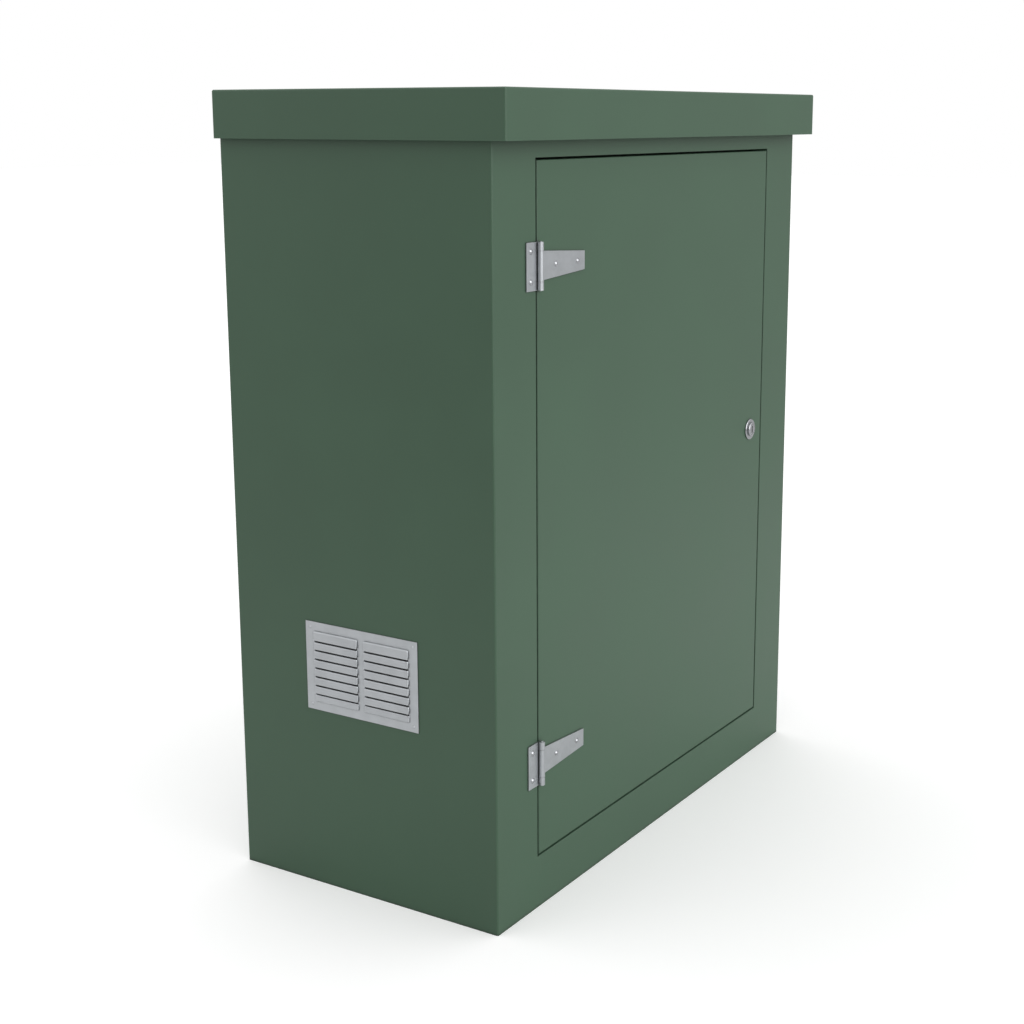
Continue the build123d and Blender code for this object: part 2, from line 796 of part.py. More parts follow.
board_face = back_face.offset(batten_depth + board_thickness)
with BuildPart() as backboard:
    with BuildSketch(board_face):
        with Locations((0, board_mid)):
            Rectangle(board_width, board_height)
    extrude(amount=-board_thickness)
    with Locations(board_face):
        with Locations((0, board_mid)):
            with GridLocations(board_screw_pitch, batten_pitch, board_screw_columns, 2):
                CounterSinkHole(
                    board_screw_radius + board_screw_fit,
                    board_screw_head_radius + board_screw_fit,
                    depth=board_thickness,
                    counter_sink_angle=90,
                )
write(backboard.part, "backboard")

with BuildPart() as board_screw:
    with BuildSketch(Plane.XZ):
        with BuildLine():
            Polyline(
                (0, 0),
                (board_screw_head_radius, 0),
                (board_screw_radius, board_screw_radius - board_screw_head_radius),
                (board_screw_radius, -board_screw_length),
                (0, -board_screw_length),
                close=True,
            )
        make_face()
    revolve(axis=Axis.Z)

with BuildPart() as backboard_screws:
    with Locations(board_face):
        with Locations((0, board_mid)):
            with GridLocations(board_screw_pitch, batten_pitch, board_screw_columns, 2):
                add(board_screw.part)
write(backboard_screws.part, "backboard_screws")
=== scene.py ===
# %% [markdown]
# # A roadside utility cabinet
# The cabinet is a green moulding of glass-reinforced plastic with a bolted roof, a flush door on
# two galvanised tee hinges, a round cam lock and pressed aluminium louvre vents low on both sides.
# The CAD model already has every piece at its size and place. This lesson gives the pieces their
# finish, softens what a press or a mould would soften, and lights the cabinet as in a studio.

# %% Load the frame
import bpy
import json
from math import pi, radians
from mathutils import Euler, Matrix, Vector

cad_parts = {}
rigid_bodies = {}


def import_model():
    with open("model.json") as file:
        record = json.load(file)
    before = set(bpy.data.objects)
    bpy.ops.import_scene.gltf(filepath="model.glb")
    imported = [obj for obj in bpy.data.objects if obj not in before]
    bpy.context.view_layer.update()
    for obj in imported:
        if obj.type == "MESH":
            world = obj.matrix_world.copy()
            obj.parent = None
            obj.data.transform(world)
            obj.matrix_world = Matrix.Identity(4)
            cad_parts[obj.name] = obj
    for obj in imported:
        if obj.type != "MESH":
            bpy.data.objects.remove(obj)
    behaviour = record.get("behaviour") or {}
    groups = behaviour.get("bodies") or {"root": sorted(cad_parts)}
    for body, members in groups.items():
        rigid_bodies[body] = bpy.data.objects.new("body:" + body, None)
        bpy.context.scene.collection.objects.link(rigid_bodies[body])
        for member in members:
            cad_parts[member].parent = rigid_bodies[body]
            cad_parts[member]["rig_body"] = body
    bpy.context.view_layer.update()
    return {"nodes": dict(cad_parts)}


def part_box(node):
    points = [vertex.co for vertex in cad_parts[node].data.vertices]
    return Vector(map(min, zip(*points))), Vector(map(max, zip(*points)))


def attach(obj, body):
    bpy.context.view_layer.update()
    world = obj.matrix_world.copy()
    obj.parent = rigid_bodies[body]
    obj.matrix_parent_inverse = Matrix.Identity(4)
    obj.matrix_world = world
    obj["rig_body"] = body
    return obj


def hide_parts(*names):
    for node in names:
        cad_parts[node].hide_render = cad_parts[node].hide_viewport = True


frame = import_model()
nodes = frame["nodes"]
mm = 0.001

# %% [markdown]
# ## Camera
# The photograph looks at the near left corner from about the height of the roof. The vertical
# edges hardly meet, so the lens is a short telephoto and not a wide angle. The picture is a crop
# that is off the lens axis, and the camera's small shift repeats that crop.

# %% Camera
camera_place = Vector((-2.3973, -1.5431, 1.2104))
camera_turn = radians(58.132)
camera_tilt = radians(11.5805)
camera_data = bpy.data.cameras.new("camera")
camera_data.sensor_width = 36
camera_data.lens = 58.0986
camera_data.shift_x = -0.04896
camera_data.shift_y = -0.05547
camera = bpy.data.objects.new("camera", camera_data)
camera.location = camera_place
camera.rotation_euler = Euler((pi / 2 - camera_tilt, 0, -camera_turn))
bpy.context.scene.collection.objects.link(camera)
bpy.context.scene.camera = camera
print("camera", round(camera_place.length, 2), "m from the cabinet's foot")

# %% [markdown]
# ## Making nodes by name
# A material is a small network. These helpers keep the cells on materials short: one adds a node
# with its settings and wires, one starts a group, which is an effect that several materials share,
# and one places a group in a material. A group hands out only masks, values and heights, and each
# material keeps its own shader.


# %% Node helpers
def wire(tree, made, inputs):
    for socket, value in inputs.items():
        if isinstance(value, bpy.types.NodeSocket):
            tree.links.new(value, made.inputs[socket])
        else:
            made.inputs[socket].default_value = value
    return made


def node(tree, kind, inputs=None, **settings):
    made = tree.nodes.new(kind)
    for setting, value in settings.items():
        setattr(made, setting, value)
    return wire(tree, made, inputs or {})


def place_group(tree, group, **values):
    return node(tree, "ShaderNodeGroup", values, node_tree=group).outputs[0]


def maths(tree, operation, first, second=0.0, third=0.0):
    return node(tree, "ShaderNodeMath", {0: first, 1: second, 2: third}, operation=operation).outputs[0]


def mix_colour(tree, share, first, second):
    return node(tree, "ShaderNodeMix", {0: share, 6: first, 7: second}, data_type="RGBA").outputs[2]


def mix_value(tree, share, first, second):
    return node(tree, "ShaderNodeMix", {0: share, 2: first, 3: second}).outputs[0]


def remap(tree, value, low, high, to_low, to_high):
    return node(tree, "ShaderNodeMapRange", {0: value, 1: low, 2: high, 3: to_low, 4: to_high},
                interpolation_type="SMOOTHSTEP").outputs[0]


def object_place(tree, scale=(1, 1, 1), turn=(0, 0, 0)):
    place = node(tree, "ShaderNodeTexCoord").outputs["Object"]
    return node(tree, "ShaderNodeMapping", {"Vector": place, "Scale": scale, "Rotation": turn}).outputs[0]


def noise(tree, place, scale, detail=2.0, distortion=0.0):
    return node(tree, "ShaderNodeTexNoise", {
        "Vector": place, "Scale": scale, "Detail": detail, "Distortion": distortion}).outputs[0]


def shader_group(name, inputs, output):
    group = bpy.data.node_groups.new(name, "ShaderNodeTree")
    for label, value in inputs.items():
        socket = group.interface.new_socket(label, in_out="INPUT", socket_type="NodeSocketFloat")
        socket.default_value = value
    group.interface.new_socket(output, in_out="OUTPUT", socket_type="NodeSocketFloat")
    return group, node(group, "NodeGroupInput").outputs, node(group, "NodeGroupOutput").inputs


print("helpers for nodes ready")

# %% [markdown]
# ## Studio
# The photograph has a pure white ground with a soft grey shade close round the foot. The camera
# sees a white world. The light itself comes from a soft studio whose left and right walls are
# dimmer than its front and its ceiling, so that the vent side is darker than the door side and
# the metal has something to mirror. One broad, distant lamp in front adds a gentle main light. A
# picture of a real studio could light the cabinet too, but a few plain numbers are easier to change.

# %% Studio walls
world_light = 1.1
wall_dimming = 0.66
wall_starts = 0.74
wall_is_full = 0.96
world = bpy.data.worlds.new("studio")
world.use_nodes = True
bpy.context.scene.world = world
world_tree = world.node_tree
world_tree.nodes.clear()
sky = node(world_tree, "ShaderNodeTexCoord").outputs["Generated"]
sideways = maths(world_tree, "ABSOLUTE", node(world_tree, "ShaderNodeSeparateXYZ", {0: sky}).outputs["X"])
wall_light = world_light * (1 - wall_dimming)
studio_light = remap(world_tree, sideways, wall_starts, wall_is_full, world_light, wall_light)
seen = node(world_tree, "ShaderNodeLightPath").outputs["Is Camera Ray"]
background = node(world_tree, "ShaderNodeBackground", {
    "Color": (1, 1, 1, 1), "Strength": mix_value(world_tree, seen, studio_light, 1.0)})
node(world_tree, "ShaderNodeOutputWorld", {"Surface": background.outputs[0]})
print("studio walls", round(wall_light, 2), "of", world_light)

# %% Front lamp
lamp_light = 1.55
lamp_spread = radians(60)
lamp_place = (-0.6, -4.2, 1.4)
lamp_data = bpy.data.lights.new("front_lamp", "SUN")
lamp_data.energy = lamp_light
lamp_data.angle = lamp_spread
lamp = bpy.data.objects.new("front_lamp", lamp_data)
lamp.location = lamp_place
lamp.rotation_euler = lamp.location.to_track_quat("Z", "Y").to_euler()
bpy.context.scene.collection.objects.link(lamp)
bpy.context.scene.view_settings.view_transform = "Standard"
print("distant lamp of", lamp_light)

# %% [markdown]
# ## Working as by hand
# An operator acts on what is selected, as it does under the mouse. These three helpers select one
# piece, go into its edit mode and come back, so that no step works on a piece by mistake.


# %% Helpers for selecting
def select_only(piece):
    if bpy.context.mode != "OBJECT":
        bpy.ops.object.mode_set(mode="OBJECT")
    bpy.ops.object.select_all(action="DESELECT")
    piece.select_set(True)
    bpy.context.view_layer.objects.active = piece


def edit(piece, select=True):
    select_only(piece)
    bpy.ops.object.mode_set(mode="EDIT")
    bpy.ops.mesh.select_all(action="SELECT" if select else "DESELECT")


def done():
    bpy.ops.object.mode_set(mode="OBJECT")


print("helpers for selecting ready")

# %% [markdown]
# ## Floor
# The cabinet stands on a white sheet. For the camera the sheet is nearly as white as the world
# behind it and keeps the cabinet's soft shade. The light that bounces off it is greyer, because a
# full white would light the cabinet from below. In the reflections the floor fades away from the
# cabinet, as a lit sheet of paper does in a dark room. The lamp leaves the floor out. It would throw
# a long shade behind the cabinet, and the photograph has a short one all round the foot, which is
# what the walls and the ceiling give.

# %% Floor
floor_side = 60.0
floor_glow = 0.18
floor_grey = (0.66, 0.66, 0.66, 1)
floor_white = (0.96, 0.96, 0.96, 1)
floor_bright = (0.89, 0.89, 0.89, 1)
floor_dim = (0.55, 0.55, 0.55, 1)
fade_starts = 1.5
fade_ends = 4.5
bpy.ops.object.select_all(action="DESELECT")
bpy.ops.mesh.primitive_plane_add(size=floor_side, location=(0, 0, 0))
floor = bpy.context.object
floor.name = "floor"
floor_paint = bpy.data.materials.new("floor_paint")
floor_paint.use_nodes = True
floor_tree = floor_paint.node_tree
floor_tree.nodes.clear()
rays = node(floor_tree, "ShaderNodeLightPath").outputs
floor_place = node(floor_tree, "ShaderNodeTexCoord").outputs["Object"]
away = node(floor_tree, "ShaderNodeVectorMath", {0: floor_place}, operation="LENGTH").outputs["Value"]
mirrored = mix_colour(floor_tree, remap(floor_tree, away, fade_starts, fade_ends, 0, 1), floor_bright, floor_dim)
paint = mix_colour(floor_tree, rays["Is Camera Ray"], floor_grey, floor_white)
paint = mix_colour(floor_tree, rays["Is Glossy Ray"], paint, mirrored)
matt = node(floor_tree, "ShaderNodeBsdfDiffuse", {"Color": paint})
glow = node(floor_tree, "ShaderNodeEmission", {
    "Strength": maths(floor_tree, "MULTIPLY", rays["Is Camera Ray"], floor_glow)})
both = node(floor_tree, "ShaderNodeAddShader", {0: matt.outputs[0], 1: glow.outputs[0]})
node(floor_tree, "ShaderNodeOutputMaterial", {"Surface": both.outputs[0]})
floor.data.materials.append(floor_paint)
print("floor", floor_side, "m wide")

# %% Floor out of the lamp's light
lamp_skips = bpy.data.collections.new("lamp_skips")
lamp_skips.objects.link(floor)
lamp_skips.collection_objects[0].light_linking.link_state = "EXCLUDE"
lamp.light_linking.receiver_collection = lamp_skips

# %% [markdown]
# ## Shared effects
# No real surface is one flat colour. A cloudy tone moves the colour and the gloss a little, a rub
# mask finds the outer edges where hands and tools touch, a crevice mask paints shade into the corners
# and gaps where nearby geometry hides the light, and a fine skin gives the tiny waviness of a moulded
# or plated face. They could be painted as pictures, but noise on object coordinates needs no
# unwrapping and never runs out. Each is a group, so that its look is decided in one place.

# %% Cloudy tone
cloud_starts, cloud_is_full = 0.3, 0.7
tone_group, tone_in, tone_out = shader_group("cloudy_tone", {"Scale": 6.0, "Detail": 4.0}, "Tone")
cloud = noise(tone_group, object_place(tone_group), tone_in["Scale"], tone_in["Detail"])
tone_group.links.new(remap(tone_group, cloud, cloud_starts, cloud_is_full, 0, 1), tone_out["Tone"])
print("group", tone_group.name)

# %% Edge rub
edge_starts, edge_is_full = 0.97, 0.72
patch_starts, patch_is_full = 0.40, 0.62
least_rub = 0.15
rub_group, rub_in, rub_out = shader_group("edge_rub", {"Radius": 2 * mm, "Breakup": 60.0}, "Mask")
soft_normal = node(rub_group, "ShaderNodeBevel", {"Radius": rub_in["Radius"]}, samples=4).outputs[0]
true_normal = node(rub_group, "ShaderNodeNewGeometry").outputs["Normal"]
agreement = node(rub_group, "ShaderNodeVectorMath", {0: soft_normal, 1: true_normal}, operation="DOT_PRODUCT")
edge = remap(rub_group, agreement.outputs["Value"], edge_starts, edge_is_full, 0, 1)
blotches = noise(rub_group, object_place(rub_group), rub_in["Breakup"], detail=3.0)
patches = remap(rub_group, blotches, patch_starts, patch_is_full, least_rub, 1)
rub_group.links.new(maths(rub_group, "MULTIPLY", edge, patches), rub_out["Mask"])
print("group", rub_group.name)

# %% Crevice shade, painted
# Painted shade: an ambient occlusion mask darkens the colour where nearby geometry hides the light, broken into
# patches by noise.
shade_starts, shade_is_full = 0.95, 0.40
shade_patch_starts, shade_patch_is_full = 0.3, 0.6
least_shade = 0.6
crevice_group, crevice_in, crevice_out = shader_group("crevice_shade", {"Reach": 4 * mm, "Breakup": 90.0}, "Mask")
nearby = node(crevice_group, "ShaderNodeAmbientOcclusion", {"Distance": crevice_in["Reach"]}, samples=6)
openness = nearby.outputs["AO"]
crowded = remap(crevice_group, openness, shade_starts, shade_is_full, 0, 1)
shade_breakup = noise(crevice_group, object_place(crevice_group), crevice_in["Breakup"], detail=3.0)
patchy = remap(crevice_group, shade_breakup, shade_patch_starts, shade_patch_is_full, least_shade, 1)
crevice_group.links.new(maths(crevice_group, "MULTIPLY", crowded, patchy), crevice_out["Mask"])
print("group", crevice_group.name)

# %% Fine skin
skin_group, skin_in, skin_out = shader_group("fine_skin", {"Scale": 300.0}, "Height")
skin_group.links.new(noise(skin_group, object_place(skin_group), skin_in["Scale"]), skin_out["Height"])
print("shared effects:", [group.name for group in bpy.data.node_groups])


# %% Starting and finishing a material
def start_material(name):
    made = bpy.data.materials.new(name)
    made.use_nodes = True
    tree = made.node_tree
    tree.nodes.clear()
    shader = node(tree, "ShaderNodeBsdfPrincipled")
    node(tree, "ShaderNodeOutputMaterial", {"Surface": shader.outputs[0]})
    return made, tree, shader


def finish_shader(tree, shader, colour, roughness, height, depth):
    bump = node(tree, "ShaderNodeBump", {"Height": height, "Distance": depth, "Strength": 1.0}).outputs[0]
    wire(tree, shader, {"Base Color": colour, "Roughness": roughness, "Normal": bump})


def shade(colour, share):
    return (colour[0] * share, colour[1] * share, colour[2] * share, 1)


print("helpers for materials ready")

# %% [markdown]
# ## Green moulding
# The body, the roof and the door are laid up in moulds: a green gel coat outside, glass mat and
# resin behind it. Outside it is even and half glossy, with the faint waviness of the mould. Inside,
# the strands of the mat show through the flow coat. The faces could be split between two materials,
# but a box of object coordinates tells inside from outside without touching the mesh. Painted shade
# darkens the narrow gaps round the door and the other tight corners.

# %% Strand mat
mat_group, mat_in, mat_out = shader_group("strand_mat", {"Scale": 40.0}, "Height")
strand_turns = (0.3, 1.35, 2.4)
strand_stretch = (1, 9, 9)
lean_y, lean_z = 1.7, 0.6
strands = 0.0
for turn in strand_turns:
    strand_place = object_place(mat_group, strand_stretch, (turn, turn * lean_y, turn * lean_z))
    strands = maths(mat_group, "MAXIMUM", strands, noise(mat_group, strand_place, mat_in["Scale"], detail=1.0))
mat_group.links.new(strands, mat_out["Height"])
print("group", mat_group.name, "of", len(strand_turns), "layers")


# %% Inside of a moulding
def inside_mask(tree, low, high):
    place = node(tree, "ShaderNodeTexCoord").outputs["Object"]
    parts = node(tree, "ShaderNodeSeparateXYZ", {0: place}).outputs
    mask = 1.0
    for axis in range(3):
        above = maths(tree, "GREATER_THAN", parts[axis], low[axis])
        below = maths(tree, "LESS_THAN", parts[axis], high[axis])
        mask = maths(tree, "MULTIPLY", mask, maths(tree, "MULTIPLY", above, below))
    return mask


print("inside mask ready")

# %% Green gel coat
gel_green = (0.0372, 0.0838, 0.0474, 1)
rubbed_green = (0.16, 0.23, 0.18, 1)
# The next colour is painted shade. The crevice mask mixes it into the gel coat where nearby geometry hides the light.
gap_shade = (0.008, 0.013, 0.010, 1)
coat_shades = (0.97, 1.04)
flow_shades = (0.75, 1.35)
coat_roughness = (0.42, 0.45)
rub_share = 0.10
gap_shade_share = 0.85
skin_share = 0.10
inside_dulling = 0.14
mould_relief = 0.4 * mm


def green_moulding(name, piece, low_margin, high_margin):
    made, tree, shader = start_material(name)
    low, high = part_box(piece)
    inside = inside_mask(tree, low + Vector(low_margin), high - Vector(high_margin))
    tone = place_group(tree, tone_group, Scale=5.0)
    rub = place_group(tree, rub_group, Radius=3 * mm, Breakup=45.0)
    crevice_shade_mask = place_group(tree, crevice_group, Reach=8 * mm, Breakup=60.0)
    strand = place_group(tree, mat_group, Scale=40.0)
    skin = place_group(tree, skin_group, Scale=260.0)
    coat = mix_colour(tree, tone, *(shade(gel_green, share) for share in coat_shades))
    coat = mix_colour(tree, maths(tree, "MULTIPLY", rub, rub_share), coat, rubbed_green)
    # Painted shade: the coat darkens towards a near black green in gaps and corners.
    coat = mix_colour(tree, maths(tree, "MULTIPLY", crevice_shade_mask, gap_shade_share), coat, gap_shade)
    flow = mix_colour(tree, strand, *(shade(gel_green, share) for share in flow_shades))
    colour = mix_colour(tree, inside, coat, flow)
    roughness = maths(tree, "MULTIPLY_ADD", inside, inside_dulling, remap(tree, tone, 0, 1, *coat_roughness))
    height = mix_value(tree, inside, maths(tree, "MULTIPLY", skin, skin_share), strand)
    finish_shader(tree, shader, colour, roughness, height, mould_relief)
    return made


print("green gel coat", [round(part, 3) for part in gel_green[:3]])

# %% Green of each moulding
skin_depth = 2 * mm
open_side = -1.0
body_green = green_moulding("body_green", "body_shell", (skin_depth, skin_depth, open_side),
                            (skin_depth, skin_depth, open_side))
roof_green = green_moulding("roof_green", "roof_cap", (skin_depth, skin_depth, open_side),
                            (skin_depth, skin_depth, skin_depth))
door_green = green_moulding("door_green", "door_panel", (skin_depth, skin_depth, skin_depth),
                            (skin_depth, open_side, skin_depth))
print("green finishes:", [finish.name for finish in (body_green, roof_green, door_green)])

# %% [markdown]
# ## Metals
# The hinges are hot-dip galvanised, so their zinc has faint spangles. The bolts, nuts and screws
# are plated bright, the lock has satin chrome, and the vents are satin aluminium with the rolling
# grain of the sheet. All are metals, which take their look from what they mirror. Each could have a
# network of its own, but one recipe with other numbers keeps them related, as they are in life.

# %% Metal finishes
bare_edge = (0.72, 0.73, 0.74, 1)
# The dark grey below is painted shade. The crevice mask mixes it in where nearby geometry hides the light.
crevice_shade_grey = (0.10, 0.10, 0.10, 1)
crevice_shade_share = 0.8
edge_share = 0.25
gloss_spread = 0.16
spangle_scale = 140.0


def metal(name, colour, roughness, spread, spangle, depth, grain=(1, 1, 1), scale=400.0):
    made, tree, shader = start_material(name)
    shader.inputs["Metallic"].default_value = 1
    tone = place_group(tree, tone_group, Scale=30.0)
    cells = node(tree, "ShaderNodeTexVoronoi", {"Vector": object_place(tree), "Scale": spangle_scale})
    flake = node(tree, "ShaderNodeSeparateColor", {0: cells.outputs["Color"]}).outputs[0]
    blend = maths(tree, "MULTIPLY_ADD", maths(tree, "SUBTRACT", flake, 0.5), spangle, tone)
    paint = mix_colour(tree, blend, shade(colour, 1 - spread), shade(colour, 1 + spread))
    rub = place_group(tree, rub_group, Radius=0.8 * mm, Breakup=220.0)
    paint = mix_colour(tree, maths(tree, "MULTIPLY", rub, edge_share), paint, bare_edge)
    # Painted shade in corners, slots and round the heads of bolts.
    crevice_shade_mask = place_group(tree, crevice_group, Reach=4 * mm)
    paint = mix_colour(tree, maths(tree, "MULTIPLY", crevice_shade_mask, crevice_shade_share), paint, crevice_shade_grey)
    fine = noise(tree, object_place(tree, grain), scale, detail=3.0)
    gloss = maths(tree, "MULTIPLY_ADD", fine, gloss_spread, roughness - gloss_spread / 2)
    finish_shader(tree, shader, paint, gloss, fine, depth)
    return made


print("recipe for metals ready")

# %% Zinc, chrome and aluminium
galvanised = metal("galvanised_zinc", (0.46, 0.48, 0.50, 1), roughness=0.42, spread=0.05, spangle=0.6,
                   depth=0.04 * mm)
bright_zinc = metal("bright_zinc", (0.41, 0.42, 0.44, 1), roughness=0.27, spread=0.05, spangle=0.2,
                    depth=0.02 * mm)
chrome = metal("satin_chrome", (0.46, 0.47, 0.49, 1), roughness=0.22, spread=0.04, spangle=0.0,
               depth=0.01 * mm)
rolling_grain = (1, 0.06, 1)
aluminium = metal("satin_aluminium", (0.49, 0.51, 0.53, 1), roughness=0.44, spread=0.04, spangle=0.0,
                  depth=0.02 * mm, grain=rolling_grain, scale=900.0)
print("metals:", [finish.name for finish in (galvanised, bright_zinc, chrome, aluminium)])

# %% [markdown]
# ## Rubber and timber
# The seal is black cellular rubber. The backboard is birch plywood: straight grain on its face and
# thin layers, light and dark in turn, along its edges. Its battens are sawn softwood. A photograph
# of wood would show the same knot again and again, so the grain is noise drawn out along the fibre.

# %% Rubber
rubber_shades = ((0.012, 0.012, 0.013, 1), (0.022, 0.022, 0.023, 1))
rubber_roughness = (0.62, 0.75)
cell_relief = 0.2 * mm


def seal_rubber():
    made, tree, shader = start_material("seal_rubber")
    tone = place_group(tree, tone_group, Scale=40.0)
    cells = place_group(tree, skin_group, Scale=900.0)
    colour = mix_colour(tree, tone, *rubber_shades)
    finish_shader(tree, shader, colour, remap(tree, tone, 0, 1, *rubber_roughness), cells, cell_relief)
    return made


rubber = seal_rubber()
print("finish", rubber.name)

# %% Face of a board
streak_starts, streak_is_full = 0.35, 0.7
streak_share = 0.7
tone_share = 0.25
tone_shade = 1.2


def wood_face(tree, pale, dark, grain, grain_scale):
    tone = place_group(tree, tone_group, Scale=3.0)
    fibre = noise(tree, object_place(tree, grain), grain_scale, detail=5.0, distortion=0.4)
    streak = remap(tree, fibre, streak_starts, streak_is_full, 0, 1)
    face = mix_colour(tree, maths(tree, "MULTIPLY", streak, streak_share), pale, dark)
    return mix_colour(tree, maths(tree, "MULTIPLY", tone, tone_share), face, shade(dark, tone_shade)), fibre, streak


print("recipe for boards ready")

# %% Plywood
veneer_thickness = 1.4 * mm
veneer_shade = 0.8
edge_limit = 0.5
ply_roughness = (0.55, 0.7)
ply_relief = 0.15 * mm


def birch_plywood(veneer):
    made, tree, shader = start_material("birch_ply")
    pale, dark = (0.62, 0.46, 0.28, 1), (0.44, 0.29, 0.15, 1)
    face, fibre, streak = wood_face(tree, pale, dark, grain=(1, 1, 0.05), grain_scale=60.0)
    place = node(tree, "ShaderNodeTexCoord").outputs
    depth = node(tree, "ShaderNodeSeparateXYZ", {0: place["Object"]}).outputs["Y"]
    layer = maths(tree, "GREATER_THAN", maths(tree, "PINGPONG", depth, veneer), veneer / 2)
    facing = node(tree, "ShaderNodeSeparateXYZ", {0: place["Normal"]}).outputs["Y"]
    on_edge = maths(tree, "LESS_THAN", maths(tree, "ABSOLUTE", facing), edge_limit)
    colour = mix_colour(tree, on_edge, face, mix_colour(tree, layer, pale, shade(dark, veneer_shade)))
    finish_shader(tree, shader, colour, remap(tree, streak, 0, 1, *ply_roughness), fibre, ply_relief)
    return made


birch = birch_plywood(veneer_thickness)
print("finish", birch.name)

# %% Softwood
sawn_roughness = (0.6, 0.75)
sawn_relief = 0.3 * mm


def sawn_softwood():
    made, tree, shader = start_material("softwood")
    pale, dark = (0.60, 0.42, 0.22, 1), (0.38, 0.21, 0.09, 1)
    face, fibre, streak = wood_face(tree, pale, dark, grain=(0.06, 1, 1), grain_scale=30.0)
    finish_shader(tree, shader, face, remap(tree, streak, 0, 1, *sawn_roughness), fibre, sawn_relief)
    return made


softwood = sawn_softwood()
print("finish", softwood.name)

# %% [markdown]
# ## Dressing the pieces
# Every piece from the CAD model gets its finish here. It could be dragged onto each piece in turn,
# but a table by name shows at a glance what is made of what.

# %% Finish for each piece
finishes = {
    body_green: ["body_shell"],
    roof_green: ["roof_cap"],
    door_green: ["door_panel"],
    galvanised: ["upper_hinge_frame_leaf", "lower_hinge_frame_leaf", "upper_hinge_strap", "lower_hinge_strap",
                 "upper_hinge_pin", "lower_hinge_pin"],
    bright_zinc: ["roof_bolts", "roof_washers", "roof_nuts", "hinge_frame_bolts", "hinge_frame_washers",
                  "hinge_frame_nuts", "hinge_strap_bolts", "hinge_strap_washers", "hinge_strap_nuts",
                  "keeper_rivets", "backboard_screws", "lock_keeper", "lock_cam", "lock_cam_screw"],
    chrome: ["lock_housing", "lock_plug", "lock_nut"],
    aluminium: ["left_vent", "right_vent", "left_vent_rivets", "right_vent_rivets"],
    rubber: ["door_seal"],
    birch: ["backboard"],
    softwood: ["backboard_battens"],
}
for finish, names in finishes.items():
    for name in names:
        nodes[name].data.materials.clear()
        nodes[name].data.materials.append(finish)
print("finishes on", sum(len(names) for names in finishes.values()), "pieces")

# %% [markdown]
# ## Softened copies
# A mould, a press and a saw all leave edges that are a little round, and a round edge is what
# catches the light. The pieces could be built again by hand, but their shape is already right. So
# each one is copied, its loose triangles are merged into whole faces, its sharp edges get a small
# bevel, and smooth shading is allowed only across gentle angles. The widths are in millimetres, and
# a width of 0 keeps the edges that the CAD model has already rounded.

# %% Widths of the bevels
edge_widths = {
    "upper_hinge_frame_leaf": 0.3, "lower_hinge_frame_leaf": 0.3, "upper_hinge_strap": 0.3, "lower_hinge_strap": 0.3,
    "backboard": 1.0, "backboard_battens": 1.0, "door_seal": 1.2, "lock_cam": 0.4, "lock_keeper": 0.3,
    "lock_housing": 0.25, "lock_plug": 0.2, "lock_nut": 0.5, "body_shell": 0, "roof_cap": 0, "door_panel": 0,
    "roof_nuts": 0.5, "hinge_frame_nuts": 0.4, "hinge_strap_nuts": 0.4,
}
print("bevels up to", max(edge_widths.values()), "mm")

# %% Smoothing
sharp_angle = radians(35)


def smooth_flat_faces(piece):
    """Smooth across gentle angles, while large faces keep their own direction."""
    select_only(piece)
    bpy.ops.object.shade_smooth_by_angle(angle=sharp_angle)
    weighting = piece.modifiers.new("weighting", "WEIGHTED_NORMAL")
    weighting.weight = 100
    weighting.keep_sharp = True
    bpy.ops.object.modifier_apply(modifier=weighting.name)


print("smoothing below", round(sharp_angle, 2), "radians")

# %% Soften the edges
merge_distance = 0.001 * mm
flat_angle = radians(0.2)


def soften(name, width):
    source = nodes[name]
    piece = bpy.data.objects.new(name + "_finished", source.data.copy())
    bpy.context.scene.collection.objects.link(piece)
    edit(piece)
    bpy.ops.mesh.customdata_custom_splitnormals_clear()
    bpy.ops.mesh.remove_doubles(threshold=merge_distance)
    bpy.ops.mesh.dissolve_limited(angle_limit=flat_angle)
    done()
    if width:
        rounding = piece.modifiers.new("rounding", "BEVEL")
        rounding.width = width * mm
        rounding.segments = 2
        rounding.limit_method = "ANGLE"
        rounding.angle_limit = sharp_angle
        bpy.ops.object.modifier_apply(modifier=rounding.name)
    smooth_flat_faces(piece)
    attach(piece, source["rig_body"])
    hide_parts(name)
    return piece


softened = {name: soften(name, width) for name, width in edge_widths.items()}
print("softened", len(softened), "pieces")

# %% [markdown]
# ## Louvre vents
# A louvre vent is one aluminium sheet. A press cuts a row of slits and pushes each strip out into
# a hood that is open along its foot, with a round brow and round ends. A hood could be drawn as a
# section and swept, but a punch has no seams at its corners. So each hood starts as a box: its back
# and its foot are opened, its brow is pulled in, the edges that are left are rounded together, the
# slit runs a little way up both ends, and the shell gets the sheet's thickness. The plate is cut
# through where the hoods' metal came from.

# %% Sizes of the pressing
vent_low, vent_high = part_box("left_vent")
vent_middle = (vent_low + vent_high) / 2
plate_thickness = 1.5 * mm
plate_face = vent_high.x - plate_thickness
hood_rise = plate_face - vent_low.x
brow_setback = 0.8 * mm
hood_rounding = 2.9 * mm
hood_root = 0.3 * mm
hood_sheet = 0.9 * mm
notch_height = 3.2 * mm
notch_depth = 0.4 * mm
hood_length = 87 * mm
column_gap = 11 * mm
pitch = 14.4 * mm
slot_height = 2.7 * mm
slot_length = 85 * mm
top_height = 17.5 * mm
bead_height = 11.3 * mm
bead_rise = 2.9 * mm
open_rows = 7
grid_top = vent_middle.z + (top_height + (open_rows - 1) * pitch + bead_height) / 2
heads = [grid_top] + [grid_top - top_height - row * pitch for row in range(open_rows)]
print("vent", [round(side / mm, 1) for side in vent_high - vent_low], "mm, heads", len(heads))


